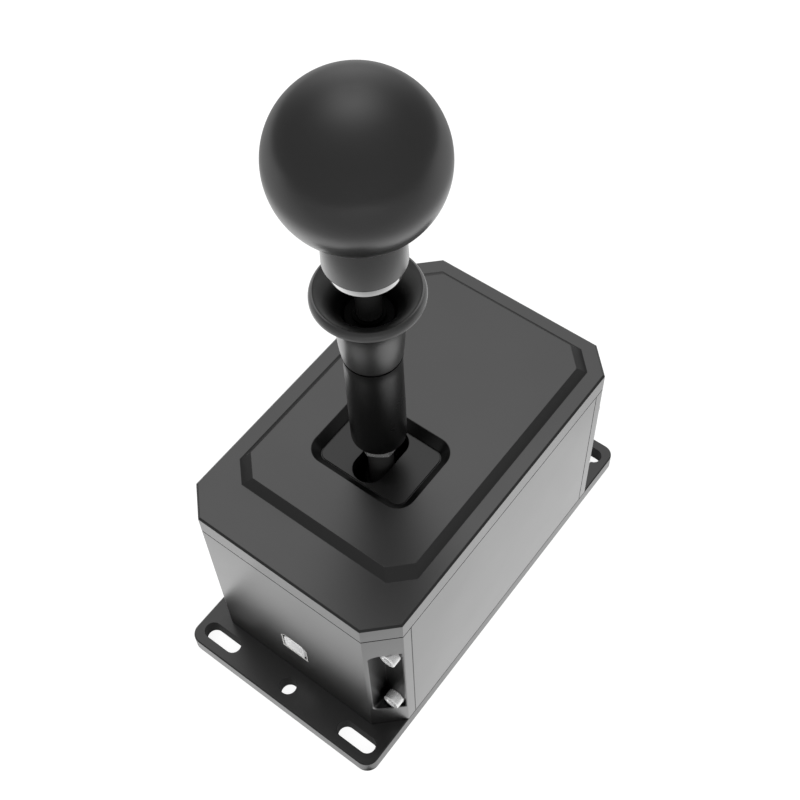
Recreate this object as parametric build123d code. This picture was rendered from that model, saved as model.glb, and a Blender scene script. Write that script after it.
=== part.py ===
import os
from math import cos, radians, sin, sqrt

from build123d import *

# Sequential gear shifter for a driving simulator, in millimetres.
# X runs across the box, +Y towards the end with the USB socket, +Z up.
# The origin lies under the middle of the base plate.

# Housing
body_width = 90.0
body_length = 141.6
corner_cut = 10.0
base_thickness = 7.2
base_overhang = 14.5
base_corner_radius = 5.0
edge_break = 0.4
seam_break = 0.25
wall_height = 76.2
end_block_thickness = 14.2
side_plate_thickness = 9.2

# Top cover
cover_skirt = 8.1
cover_edge_bevel = 0.7
cover_roof = 4.4
platform_rise = 3.4
platform_bevel = 3.0
platform_side_margin = 6.0
platform_front_margin = 5.2
platform_rear_margin = 18.9
platform_corner_cut = 7.4
recess_width = 43.0
recess_length = 32.6
recess_corner_radius = 6.8
recess_depth = 5.4
recess_side_run = 2.2
recess_end_run = 3.2
floor_corner_radius = 4.8
gate_shadow_gap = 0.5
gate_shadow_run = 1.4

# Gate plate
gate_width = 56.0
gate_length = 46.0
gate_thickness = 3.0
gate_corner_radius = 3.0
gate_fit = 0.2
slot_side_gap = 1.4
slot_end_gap = 0.8
slot_bevel = 0.4
gate_screw_inset = 3.6

# Slots and holes for fastening the base plate
mount_slot_length = 16.8
mount_slot_width = 6.6
mount_slot_side_distance = 11.6
mount_hole_radius = 3.3
mount_edge_distance = 7.2

# Corner pockets with their pairs of screws, with heights above the base plate
pocket_rise = 13.2
pocket_height = 49.6
pocket_inner_radius = 3.3
screw_web = 4.5
end_screw_lower_rise = 18.3
end_screw_upper_rise = 57.2

# Screw sizes: M3, M4 and M5, with socket heads
screw_fit = 0.05
screw_clearance = 0.25
tap_overrun = 1.5
m3_radius = 1.5
m3_head_radius = 2.75
m3_head_height = 2.0
m3_key_width = 1.5
m3_key_depth = 1.0
m4_radius = 2.0
m4_head_radius = 3.5
m4_head_height = 4.0
m4_key_width = 3.0
m4_key_depth = 2.2
m5_radius = 2.5
m5_head_radius = 4.25
m5_head_height = 5.0
head_sink = 0.3
head_bevel = 0.35
end_screw_grip = 11.5
tie_screw_inset = 14.0
tie_screw_grip = 5.5
side_screw_reach = 35.0
side_screw_grip = 9.0
gate_screw_grip = 3.5

# Lever stack, from the pivot up
lever_distance = 56.8
lever_swing_degrees = 8.5
stud_radius = 4.0
shoulder_step = 0.6
seat_fit = 0.05
nut_clearance = 5.9
shaft_seat_depth = 18.0
stud_grip = 13.7
nut_width = 13.0
nut_height = 6.5
nut_bevel = 0.8
nut_turn_degrees = 33.0
sleeve_foot_radius = 9.6
sleeve_waist_radius = 9.2
sleeve_top_radius = 9.55
sleeve_height = 46.3
sleeve_straight_height = 16.0
sleeve_waist_drop = 5.5
sleeve_edge_radius = 0.6
flare_foot_direction_shares = (0.15, 1)

# Lift collar with its bowl, spring, washer and ring
collar_gap = 0.1
collar_height = 31.0
collar_rim_radius = 17.55
collar_rim_height = 3.2
collar_rim_draft = 0.75
collar_bore_radius = 8.0
collar_ledge_height = 4.0
collar_bowl_depth = 16.4
collar_lift = 6.0
collar_top_gap = 3.0
flare_rim_direction_shares = (1, 0.75)
flare_pull_shares = (1.5, 1.1)
bowl_lip_direction_shares = (-0.45, -1)
bowl_pull_shares = (1.3, 1.3)
bush_wall = 1.6
running_gap = 0.06
collar_spring_gap = 1.3
collar_spring_wire = 1.2
washer_gap = 0.4
washer_thickness = 1.0
ring_wire = 1.2
spring_space = 14.0

# Knob
knob_radius = 25.0
neck_height = 16.8
neck_foot_radius = 12.55
neck_top_radius = 12.1
neck_edge_radius = 0.8
knob_ring_radius = 11.3
knob_ring_height = 4.1
insert_radius = 6.0
insert_depth = 15.0

# Hub on the pivot
hub_half_width = 12.0
hub_half_length = 13.0
hub_below_pivot = 10.0
hub_above_pivot = 14.0
hub_corner_radius = 2.0
hub_boss_wall = 2.4
hub_boss_clearance = 8.2
hub_boss_bevel = 0.8
set_screw_radius = 2.0
set_screw_length = 7.0
set_screw_key_width = 2.0
set_screw_key_depth = 1.6
set_screw_reach = 7.0

# Pivot shaft and its two ball bearings
pivot_radius = 5.0
bearing_width = 5.0
race_wall = 1.5
race_gap = 1.5
ball_bite = 0.4
ball_count = 10
ball_gap = 0.05
shaft_end_gap = 0.3
spacer_wall = 1.6
race_relief = 0.5

# Drive roller on the hub's tail
drive_arm = 22.0
roller_radius = 5.0
roller_half_width = 4.2
roller_pin_radius = 2.0
cheek_thickness = 3.4
cheek_half_length = 3.3
cheek_gap = 0.3
roller_play = 0.12

# Centring slider on two rods
slider_side_gap = 4.8
slider_half_length = 12.0
slider_height = 14.0
slider_corner_radius = 1.5
slider_slot_gap = 0.6
rod_inset = 7.0
rod_radius = 3.0
rod_socket_depth = 8.0
centring_spring_length = 24.0
centring_spring_gap = 1.15
centring_spring_wire = 1.5
spring_collar_wall = 4.0
spring_collar_width = 6.0
collar_screw_radius = 1.5
collar_screw_length = 3.5
collar_screw_key_width = 1.5
collar_screw_key_depth = 1.2

# End stops
buffer_radius = 5.0
buffer_length = 4.0
buffer_gap = 0.15
post_thickness = 8.0
post_half_width = 7.5
post_top_margin = 2.0
post_corner_radius = 2.0
post_screw_spacing = 10.0
post_screw_grip = 8.0

# Sensor under the slider
magnet_radius = 3.0
magnet_height = 2.2
magnet_offset = 14.0
sensor_board_width = 16.0
sensor_board_length = 24.0
board_thickness = 1.6
sensor_board_rise = 1.5
sensor_chip_size = 4.0
sensor_chip_height = 1.5
sensor_gap = 2.2
sensor_spacer_radius = 2.5
sensor_screw_reach = 9.0
sensor_screw_grip = 4.0
sensor_screw_head_height = 1.5
sensor_screw_key_depth = 0.8
ribbon_width = 4.6
ribbon_gap = 0.5
ribbon_thickness = 0.9
ribbon_bend_radius = 2.5

# Main board and USB socket, with heights above the base plate
usb_width = 12.2
usb_height = 11.7
usb_rise = 23.8
usb_corner_cut = 2.2
usb_wall = 0.6
usb_back_wall = 1.0
usb_recess = 0.4
usb_hole_gap = 0.15
usb_length = 16.4
tongue_width = 5.6
tongue_height = 3.2
tongue_length = 8.0
board_side_gap = 5.0
board_height = 34.0
board_rise = 4.8
board_screw_inset = 3.5
board_screw_grip = 6.0
board_spacer_radius = 2.6
chip_size = 8.0
chip_height = 1.2
connector_width = 5.6
connector_height = 5.0
connector_depth = 4.0
connector_rise = 8.0

# Values that follow from the sizes above
half_width = body_width / 2
half_length = body_length / 2
seam_reach = half_length - end_block_thickness
cavity_reach = half_width - side_plate_thickness
pocket_back = seam_reach + screw_web
pocket_bottom = base_thickness + pocket_rise
pocket_top = pocket_bottom + pocket_height
screw_line = half_width - side_plate_thickness / 2
tie_line_x = half_width - tie_screw_inset
tie_line_y = half_length - end_block_thickness / 2
base_length = body_length + 2 * base_overhang
mount_slot_reach = base_length / 2 - mount_edge_distance
mount_slot_line = half_width - mount_slot_side_distance

# Heights of the housing and of the gate
wall_top = base_thickness + wall_height
deck_height = wall_top + cover_skirt + cover_edge_bevel
platform_height = deck_height + platform_rise
gate_top = platform_height - recess_depth
gate_bottom = gate_top - gate_thickness

# Heights of the mechanism: the sensor, the slider over it, and the pivot over the slider
sensor_board_bottom = base_thickness + sensor_board_rise
sensor_board_top = sensor_board_bottom + board_thickness
slider_bottom = sensor_board_top + sensor_chip_height + sensor_gap
slider_top = slider_bottom + slider_height
rod_height = slider_bottom + slider_height / 2
pivot_height = rod_height + drive_arm

# Radii and places of the mechanism
lever_offset = half_length - lever_distance
slide_travel = drive_arm * sin(radians(lever_swing_degrees))
shaft_radius = stud_radius + shoulder_step
hub_boss_radius = shaft_radius + hub_boss_wall
hub_boss_top = gate_bottom - hub_boss_clearance
slot_width = 2 * (shaft_radius + slot_side_gap)
slot_reach = (gate_top - pivot_height) * sin(radians(lever_swing_degrees)) + shaft_radius
slot_length = 2 * (slot_reach + slot_end_gap)
inner_race_radius = pivot_radius + race_wall
outer_race_bore = inner_race_radius + race_gap
bearing_outer_radius = outer_race_bore + race_wall
ball_radius = race_gap / 2 + ball_bite
slider_half_width = cavity_reach - slider_side_gap
rod_line = slider_half_width - rod_inset
bush_radius = rod_radius + bush_wall
centring_spring_radius = rod_radius + centring_spring_gap + centring_spring_wire / 2
spring_collar_radius = rod_radius + spring_collar_wall

# Heights and radii of the lever stack
shoulder_height = platform_height + nut_clearance
nut_top = shoulder_height + nut_height
sleeve_top = nut_top + sleeve_height
collar_bottom = sleeve_top + collar_gap
collar_top = collar_bottom + collar_height
collar_lip_radius = collar_rim_radius - collar_rim_draft
collar_spring_radius = collar_bore_radius - collar_spring_gap - collar_spring_wire / 2
washer_radius = collar_bore_radius - washer_gap
ledge_top = collar_bottom + collar_ledge_height
washer_bottom = ledge_top + spring_space
neck_foot = collar_top + collar_lift + collar_top_gap + knob_ring_height
neck_top = neck_foot + neck_height
knob_centre = neck_top + sqrt(knob_radius ** 2 - neck_top_radius ** 2)

# Places of the socket, the main board and the ribbon
usb_centre = base_thickness + usb_rise
board_plane = half_length - usb_recess - usb_length
board_width = 2 * (rod_line - rod_radius - board_side_gap)
board_bottom = base_thickness + board_rise
connector_bottom = board_bottom + connector_rise
connector_face = board_plane - board_thickness - connector_depth
ribbon_line = -post_half_width - ribbon_gap - ribbon_width / 2


def block(x0, x1, y0, y1, z0, z1):
    """A box between two opposite corners."""
    size = (abs(x1 - x0), abs(y1 - y0), abs(z1 - z0))
    return Pos((x0 + x1) / 2, (y0 + y1) / 2, (z0 + z1) / 2) * Box(*size)


def rod(radius, start, end):
    """A cylinder from one point to another."""
    line = Vector(*end) - Vector(*start)
    plane = Plane(origin=start, z_dir=line)
    return plane * Cylinder(radius, line.length, align=(Align.CENTER, Align.CENTER, Align.MIN))


def tube(outer, inner, start, end):
    """A straight tube from one point to another."""
    return rod(outer, start, end) - rod(inner, start, end)


def column(radius, z0, z1):
    """A cylinder on the lever's axis."""
    return rod(radius, (0, lever_offset, z0), (0, lever_offset, z1))


def column_tube(outer, inner, z0, z1):
    """A tube on the lever's axis."""
    return column(outer, z0, z1) - column(inner, z0, z1)


def pivot_rod(radius, x0, x1):
    """A cylinder on the pivot's axis."""
    return rod(radius, (x0, lever_offset, pivot_height), (x1, lever_offset, pivot_height))


def roller_rod(radius, x0, x1):
    """A cylinder on the drive roller's axis."""
    return rod(radius, (x0, lever_offset, rod_height), (x1, lever_offset, rod_height))


def turned(outline):
    """A closed radius and height outline, turned about the lever's axis."""
    face = Plane.XZ * make_face(outline)
    return Pos(0, lever_offset, 0) * revolve(face, Axis.Z)


def cut_corner_outline(x0, x1, y0, y1, cut):
    """An eight-sided face: a rectangle with its corners cut at 45 degrees."""
    points = [
        (x0 + cut, y0),
        (x1 - cut, y0),
        (x1, y0 + cut),
        (x1, y1 - cut),
        (x1 - cut, y1),
        (x0 + cut, y1),
        (x0, y1 - cut),
        (x0, y0 + cut),
    ]
    return make_face(Polyline(*points, close=True))


def cap_screw(seat, towards, head_radius, head_height, shank_radius, grip, key_width, key_depth):
    """A socket-head screw: seat is the centre of the face under its head."""
    plane = Plane(origin=seat, z_dir=towards)
    head = Cylinder(head_radius, head_height, align=(Align.CENTER, Align.CENTER, Align.MAX))
    head = chamfer(head.edges().sort_by(Axis.Z)[0], head_bevel)
    shank = Cylinder(shank_radius, grip, align=(Align.CENTER, Align.CENTER, Align.MIN))
    key = Pos(0, 0, -head_height) * extrude(RegularPolygon(key_width / sqrt(3), 6), key_depth)
    return plane * (head + shank - key)


def m4_screw(seat, towards, grip):
    """An M4 socket-head screw."""
    return cap_screw(
        seat, towards, m4_head_radius, m4_head_height, m4_radius, grip, m4_key_width, m4_key_depth
    )


def m3_screw(seat, towards, grip):
    """An M3 screw with a low socket head."""
    return cap_screw(
        seat, towards, m3_head_radius, m3_head_height, m3_radius, grip, m3_key_width, m3_key_depth
    )


def set_screw(start, towards, radius, length, key_width, key_depth):
    """A headless screw that starts at the tip and ends in a hexagon socket."""
    plane = Plane(origin=start, z_dir=towards)
    body = Cylinder(radius, length, align=(Align.CENTER, Align.CENTER, Align.MIN))
    key = Pos(0, 0, length - key_depth) * extrude(RegularPolygon(key_width / sqrt(3), 6), key_depth)
    return plane * (body - key)


def four_corners(x, y):
    """The four points at plus and minus x and y."""
    return [(-x, -y), (x, -y), (-x, y), (x, y)]


# Places that several pieces share
tie_places = four_corners(tie_line_x, tie_line_y)
side_places = four_corners(screw_line, side_screw_reach)
gate_places = [
    (x, lever_offset + y)
    for x, y in four_corners(gate_width / 2 - gate_screw_inset, gate_length / 2 - gate_screw_inset)
]
buffer_face = slider_half_length + slide_travel + buffer_gap
post_near = buffer_face + buffer_length
post_middle = post_near + post_thickness / 2
post_places = [
    (x, lever_offset + side * post_middle)
    for side in (-1, 1)
    for x in (-post_screw_spacing / 2, post_screw_spacing / 2)
]
end_screw_heights = [base_thickness + rise for rise in (end_screw_lower_rise, end_screw_upper_rise)]
board_places = [
    (x, z)
    for x in (board_screw_inset - board_width / 2, board_width / 2 - board_screw_inset)
    for z in (board_bottom + board_screw_inset, board_bottom + board_height - board_screw_inset)
]
sensor_places = [(-magnet_offset, lever_offset + side * sensor_screw_reach) for side in (-1, 1)]


def sunk_hole(place, head_radius, head_height, shank_radius):
    """The counterbore and hole for a screw that comes up through the base plate."""
    x, y = place
    sink = head_height + head_sink
    head = rod(head_radius + screw_clearance, (x, y, 0), (x, y, sink))
    shank = rod(shank_radius + screw_clearance, (x, y, 0), (x, y, base_thickness))
    return head + shank


def base_plate():
    """The thick plate that everything stands on."""
    outline = RectangleRounded(body_width, base_length, base_corner_radius)
    plate = extrude(outline, base_thickness)
    rims = plate.edges().group_by(Axis.Z)
    plate = chamfer(rims[0] + rims[-1], edge_break)
    for x in (-mount_slot_line, mount_slot_line):
        for y in (-mount_slot_reach, mount_slot_reach):
            plate -= Pos(x, y) * extrude(SlotOverall(mount_slot_length, mount_slot_width), base_thickness)
    for y in (-mount_slot_reach, mount_slot_reach):
        plate -= rod(mount_hole_radius, (0, y, 0), (0, y, base_thickness))
    for place in tie_places:
        plate -= sunk_hole(place, m5_head_radius, m5_head_height, m5_radius)
    for place in side_places + post_places:
        plate -= sunk_hole(place, m4_head_radius, m4_head_height, m4_radius)
    for x, y in sensor_places:
        depth = sensor_screw_grip
        plate -= rod(m3_radius + screw_fit, (x, y, base_thickness - depth), (x, y, base_thickness))
    return plate


def end_block():
    """The end wall with its corner pockets, at the end that faces +Y."""
    points = [
        (-half_width, seam_reach),
        (half_width, seam_reach),
        (half_width, half_length - corner_cut),
        (half_width - corner_cut, half_length),
        (corner_cut - half_width, half_length),
        (-half_width, half_length - corner_cut),
    ]
    wall = Pos(0, 0, base_thickness) * extrude(make_face(Polyline(*points, close=True)), wall_height)
    rims = wall.edges().group_by(Axis.Z)
    wall = chamfer(rims[0] + rims[-1], seam_break)
    for side in (-1, 1):
        inner = side * cavity_reach
        outer = side * (half_width + corner_cut)
        pocket = block(
            inner, outer, pocket_back, half_length + corner_cut, pocket_bottom, pocket_top
        )
        inside = pocket.edges().filter_by(Axis.Y).group_by(Axis.X)[0 if side > 0 else -1]
        wall -= fillet(inside, pocket_inner_radius)
        for z in end_screw_heights:
            x = side * screw_line
            wall -= rod(m4_radius + screw_clearance, (x, seam_reach, z), (x, pocket_back, z))
        x = side * tie_line_x
        wall -= rod(m5_radius + screw_clearance, (x, tie_line_y, base_thickness), (x, tie_line_y, wall_top))
        x = side * rod_line
        wall -= rod(
            rod_radius + seat_fit,
            (x, seam_reach, rod_height),
            (x, seam_reach + rod_socket_depth, rod_height),
        )
    return wall


def usb_outline(grow):
    """The socket's outline: a rectangle with its two upper corners cut."""
    x = usb_width / 2 + grow
    z = usb_height / 2 + grow
    cut = usb_corner_cut
    points = [(-x, -z), (x, -z), (x, z - cut), (x - cut, z), (cut - x, z), (-x, z - cut)]
    return make_face(Polyline(*points, close=True))


def usb_prism(grow, y0, y1):
    """The socket's outline, grown, from one Y place to another."""
    plane = Plane(origin=(0, y1, usb_centre), x_dir=(1, 0, 0), z_dir=(0, -1, 0))
    return extrude(plane * usb_outline(grow), y1 - y0)


def rear_end_block():
    """The end wall that the USB socket and the main board are fixed to."""
    wall = end_block()
    wall -= usb_prism(usb_hole_gap, seam_reach, half_length)
    for x, z in board_places:
        depth = board_screw_grip + tap_overrun
        wall -= rod(m3_radius + screw_fit, (x, seam_reach, z), (x, seam_reach + depth, z))
    return wall


def front_end_block():
    """The end wall towards the driver."""
    return Rot(0, 0, 180) * end_block()


def side_plate(side):
    """A side wall, which holds a pivot bearing on its inner face."""
    inner = side * cavity_reach
    outer = side * half_width
    wall = block(inner, outer, -seam_reach, seam_reach, base_thickness, wall_top)
    outer_face = wall.faces().sort_by(Axis.X)[-1 if side > 0 else 0]
    wall = chamfer(outer_face.edges(), seam_break)
    pocket_end = side * (cavity_reach + bearing_width)
    wall -= pivot_rod(bearing_outer_radius + seat_fit, inner, pocket_end)
    wall -= pivot_rod(outer_race_bore, inner, pocket_end + side * race_relief)
    depth = end_screw_grip + tap_overrun
    for z in end_screw_heights:
        for end in (-1, 1):
            start = (side * screw_line, end * seam_reach, z)
            stop = (side * screw_line, end * (seam_reach - depth), z)
            wall -= rod(m4_radius + screw_fit, start, stop)
    depth = side_screw_grip + tap_overrun
    for y in (-side_screw_reach, side_screw_reach):
        x = side * screw_line
        wall -= rod(m4_radius + screw_fit, (x, y, base_thickness), (x, y, base_thickness + depth))
    return wall


def top_cover():
    """The cover with its raised platform and the tapered recess over the gate plate."""
    deck = cut_corner_outline(-half_width, half_width, -half_length, half_length, corner_cut)
    cover = Pos(0, 0, wall_top) * extrude(deck, deck_height - wall_top)
    rims = cover.edges().group_by(Axis.Z)
    cover = chamfer(rims[-1], cover_edge_bevel)
    cover = chamfer(cover.edges().group_by(Axis.Z)[0], seam_break)
    x = half_width - platform_side_margin
    y0 = platform_front_margin - half_length
    y1 = half_length - platform_rear_margin
    foot = cut_corner_outline(-x, x, y0, y1, platform_corner_cut)
    run = platform_bevel
    head = cut_corner_outline(-x + run, x - run, y0 + run, y1 - run, platform_corner_cut)
    cover += loft([Pos(0, 0, deck_height) * foot, Pos(0, 0, platform_height) * head], ruled=True)
    cover -= block(
        -cavity_reach, cavity_reach, -seam_reach, seam_reach, wall_top, deck_height - cover_roof
    )
    gate_x = gate_width / 2 + gate_fit
    gate_y = gate_length / 2 + gate_fit
    pocket = block(
        -gate_x, gate_x, lever_offset - gate_y, lever_offset + gate_y, deck_height - cover_roof, gate_top
    )
    cover -= fillet(pocket.edges().filter_by(Axis.Z), gate_corner_radius)
    floor_width = recess_width - 2 * recess_side_run
    floor_length = recess_length - 2 * recess_end_run
    floor = RectangleRounded(floor_width, floor_length, floor_corner_radius)
    rim = RectangleRounded(recess_width, recess_length, recess_corner_radius)
    low = Pos(0, lever_offset, gate_top) * floor
    high = Pos(0, lever_offset, platform_height) * rim
    cover -= loft([low, high], ruled=True)
    shadow = RectangleRounded(
        floor_width + 2 * gate_shadow_run, floor_length + 2 * gate_shadow_run, recess_corner_radius
    )
    cover -= Pos(0, lever_offset, gate_top) * extrude(shadow, gate_shadow_gap)
    for px, py in tie_places:
        top = wall_top + tie_screw_grip + tap_overrun
        cover -= rod(m5_radius + screw_fit, (px, py, wall_top), (px, py, top))
    for px, py in gate_places:
        top = gate_top + gate_screw_grip + tap_overrun / 2
        cover -= rod(m3_radius + screw_fit, (px, py, gate_top), (px, py, top))
    return cover


def gate_plate():
    """The plate with the slot that guides the lever."""
    outline = RectangleRounded(gate_width, gate_length, gate_corner_radius)
    plate = Pos(0, lever_offset, gate_bottom) * extrude(outline, gate_thickness)
    slot = Rot(0, 0, 90) * SlotOverall(slot_length, slot_width)
    plate -= Pos(0, lever_offset, gate_bottom) * extrude(slot, gate_thickness)
    slot_edges = plate.faces().sort_by(Axis.Z)[-1].inner_wires()[0].edges()
    plate = chamfer(slot_edges, slot_bevel)
    for x, y in gate_places:
        plate -= rod(m3_radius + screw_clearance, (x, y, gate_bottom), (x, y, gate_top))
    return plate


def end_screws():
    """The two screws in each corner pocket, which hold the side plates to the end blocks."""
    screws = []
    for side in (-1, 1):
        for end in (-1, 1):
            for z in end_screw_heights:
                seat = (side * screw_line, end * pocket_back, z)
                screws.append(m4_screw(seat, (0, -end, 0), screw_web + end_screw_grip))
    return screws


def tie_screws():
    """Long screws from under the base plate, through the end blocks, into the cover."""
    seat = m5_head_height + head_sink
    grip = wall_top + tie_screw_grip - seat
    return [
        cap_screw(
            (x, y, seat), (0, 0, 1), m5_head_radius, m5_head_height, m5_radius, grip,
            m4_key_width, m4_key_depth,
        )
        for x, y in tie_places
    ]


def base_screws(places, grip):
    """Screws from under the base plate into what stands on it."""
    seat = m4_head_height + head_sink
    return [m4_screw((x, y, seat), (0, 0, 1), base_thickness - seat + grip) for x, y in places]


def gate_screws():
    """Screws that hold the gate plate up against the cover."""
    grip = gate_thickness + gate_screw_grip
    return [m3_screw((x, y, gate_bottom), (0, 0, 1), grip) for x, y in gate_places]


def lever_hub():
    """The block on the pivot, with the boss for the lever and the two cheeks of its tail."""
    hub = block(
        -hub_half_width, hub_half_width,
        lever_offset - hub_half_length, lever_offset + hub_half_length,
        pivot_height - hub_below_pivot, pivot_height + hub_above_pivot,
    )
    hub = fillet(hub.edges().filter_by(Axis.X), hub_corner_radius)
    boss = column(hub_boss_radius, pivot_height, hub_boss_top)
    hub += chamfer(boss.edges().sort_by(Axis.Z)[-1], hub_boss_bevel)
    hub -= column(shaft_radius + seat_fit, hub_boss_top - shaft_seat_depth, hub_boss_top)
    for side in (-1, 1):
        near = side * (roller_half_width + cheek_gap)
        far = side * (roller_half_width + cheek_gap + cheek_thickness)
        cheek = block(
            near, far,
            lever_offset - cheek_half_length, lever_offset + cheek_half_length,
            rod_height, pivot_height,
        )
        hub += cheek
        hub += roller_rod(cheek_half_length, near, far)
        hub -= roller_rod(roller_pin_radius + seat_fit, near, far)
    hub -= pivot_rod(pivot_radius + seat_fit, -hub_half_width, hub_half_width)
    for side in (-1, 1):
        x = side * set_screw_reach
        hub -= rod(
            set_screw_radius + screw_fit,
            (x, lever_offset, pivot_height),
            (x, lever_offset + hub_half_length, pivot_height),
        )
    return hub


def hub_set_screws():
    """The two screws that lock the hub to the pivot shaft."""
    return [
        set_screw(
            (side * set_screw_reach, lever_offset + pivot_radius + seat_fit, pivot_height), (0, 1, 0),
            set_screw_radius, set_screw_length, set_screw_key_width, set_screw_key_depth,
        )
        for side in (-1, 1)
    ]


def pivot_shaft():
    """The shaft that the lever turns on."""
    end = cavity_reach + bearing_width - shaft_end_gap
    shaft = pivot_rod(pivot_radius, -end, end)
    return chamfer(shaft.edges().filter_by(GeomType.CIRCLE), edge_break)


def pivot_spacers():
    """The tubes that keep the hub in the middle between the bearings."""
    spacers = []
    for side in (-1, 1):
        ends = (side * hub_half_width, side * cavity_reach)
        outer = pivot_rod(pivot_radius + spacer_wall, *ends)
        spacers.append(outer - pivot_rod(pivot_radius + seat_fit, *ends))
    return spacers


def race_groove():
    """The ring of space that the balls run in, about the X axis."""
    pitch = (inner_race_radius + outer_race_bore) / 2
    return Rot(0, 90, 0) * Torus(pitch, ball_radius + ball_gap)


def race(outer, inner, side):
    """One ring of a bearing."""
    x0 = side * cavity_reach
    x1 = side * (cavity_reach + bearing_width)
    ring = pivot_rod(outer, x0, x1) - pivot_rod(inner, x0, x1)
    return ring - Pos((x0 + x1) / 2, lever_offset, pivot_height) * race_groove()


def inner_races():
    """The bearings' inner rings, which turn with the shaft."""
    return [race(inner_race_radius, pivot_radius + seat_fit, side) for side in (-1, 1)]


def outer_races():
    """The bearings' outer rings, seated in the side plates."""
    return [race(bearing_outer_radius, outer_race_bore, side) for side in (-1, 1)]


def bearing_balls():
    """The balls of both bearings."""
    pitch = (inner_race_radius + outer_race_bore) / 2
    balls = []
    for side in (-1, 1):
        x = side * (cavity_reach + bearing_width / 2)
        for number in range(ball_count):
            angle = radians(360 * number / ball_count)
            place = (x, lever_offset + pitch * cos(angle), pivot_height + pitch * sin(angle))
            balls.append(Pos(*place) * Sphere(ball_radius))
    return balls


def drive_roller():
    """The roller that pushes the slider."""
    ends = (-roller_half_width, roller_half_width)
    return roller_rod(roller_radius, *ends) - roller_rod(roller_pin_radius + seat_fit, *ends)


def roller_pin():
    """The pin through both cheeks and the roller."""
    end = roller_half_width + cheek_gap + cheek_thickness
    return roller_rod(roller_pin_radius, -end, end)


def lever_shaft():
    """The bar from the hub up to the shoulder, and the stud that carries the rest."""
    lower = column(shaft_radius, hub_boss_top - shaft_seat_depth, shoulder_height)
    lower = chamfer(lower.edges().group_by(Axis.Z)[-1], edge_break)
    return lower + column(stud_radius, shoulder_height, neck_top + stud_grip)


def lock_nut():
    """The hexagon nut under the sleeve, bevelled at both ends."""
    corner = nut_width / sqrt(3)
    hexagon = RegularPolygon(corner, 6, rotation=nut_turn_degrees)
    nut = Pos(0, lever_offset, shoulder_height) * extrude(hexagon, nut_height)
    flat = nut_width / 2
    outline = Polyline(
        (0, shoulder_height),
        (flat, shoulder_height),
        (corner + edge_break, shoulder_height + nut_bevel),
        (corner + edge_break, nut_top - nut_bevel),
        (flat, nut_top),
        (0, nut_top),
        close=True,
    )
    nut &= turned(outline)
    return nut - column(stud_radius + seat_fit, shoulder_height, nut_top)


def lever_sleeve():
    """The tube between the nut and the lift collar, with a slight waist under its top."""
    edge = sleeve_edge_radius
    bore = stud_radius + seat_fit
    foot = Line((bore, nut_top), (sleeve_foot_radius - edge, nut_top))
    corner = RadiusArc(foot @ 1, (sleeve_foot_radius, nut_top + edge), -edge)
    straight = Line(corner @ 1, (sleeve_foot_radius, nut_top + sleeve_straight_height))
    side = Spline(
        straight @ 1,
        (sleeve_waist_radius, sleeve_top - sleeve_waist_drop),
        (sleeve_top_radius, sleeve_top),
        tangents=((0, 1), flare_foot_direction_shares),
    )
    top = Polyline(side @ 1, (bore, sleeve_top), (bore, nut_top))
    return turned([foot, corner, straight, side, top])


def lift_collar():
    """The flared collar: a tube that opens into a bowl with a short upright rim."""
    rim_foot = collar_top - collar_rim_height
    bowl_bottom = collar_top - collar_bowl_depth
    bore = stud_radius + seat_fit + bush_wall
    inside_bottom = Polyline(
        (collar_bore_radius, ledge_top), (bore, ledge_top), (bore, collar_bottom),
        (sleeve_top_radius, collar_bottom),
    )
    flare = Spline(
        (sleeve_top_radius, collar_bottom),
        (collar_rim_radius - edge_break, rim_foot - edge_break),
        tangents=(flare_foot_direction_shares, flare_rim_direction_shares),
        tangent_scalars=flare_pull_shares,
    )
    lip = Polyline(flare @ 1, (collar_rim_radius, rim_foot), (collar_lip_radius, collar_top))
    bowl = Spline(
        lip @ 1,
        (collar_bore_radius, bowl_bottom),
        tangents=(bowl_lip_direction_shares, (0, -1)),
        tangent_scalars=bowl_pull_shares,
    )
    wall = Line(bowl @ 1, (collar_bore_radius, ledge_top))
    return turned([inside_bottom, flare, lip, bowl, wall])


def collar_bush():
    """The plain bush on which the collar slides along the stud."""
    inner = stud_radius + running_gap
    return column_tube(stud_radius + seat_fit + bush_wall, inner, collar_bottom, ledge_top)


def knob_ball():
    """The round knob, flat where it sits on its neck."""
    ball = Pos(0, lever_offset, knob_centre) * Sphere(knob_radius)
    ball -= column(knob_radius, knob_centre - knob_radius, neck_top)
    return ball - column(insert_radius + seat_fit, neck_top, neck_top + insert_depth)


def knob_neck():
    """The short neck under the knob, rounded at its foot."""
    edge = neck_edge_radius
    bore = stud_radius + seat_fit
    foot = Line((bore, neck_foot), (neck_foot_radius - edge, neck_foot))
    corner = RadiusArc(foot @ 1, (neck_foot_radius, neck_foot + edge), -edge)
    side = Polyline(corner @ 1, (neck_top_radius, neck_top), (bore, neck_top), (bore, neck_foot))
    return turned([foot, corner, side])


def knob_ring():
    """The bright ring between the collar and the neck."""
    ring = column_tube(
        knob_ring_radius, stud_radius + seat_fit, neck_foot - knob_ring_height, neck_foot
    )
    return chamfer(ring.edges().group_by(Axis.Z)[0].sort_by(SortBy.RADIUS)[-1], edge_break)


def knob_insert():
    """The threaded bush in the knob."""
    return column_tube(insert_radius, stud_radius + seat_fit, neck_top, neck_top + insert_depth)


def magnet_rod(radius):
    """A cylinder at the magnet's place under the slider."""
    x = -magnet_offset
    top = slider_bottom + magnet_height
    return rod(radius, (x, lever_offset, slider_bottom), (x, lever_offset, top))


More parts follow.
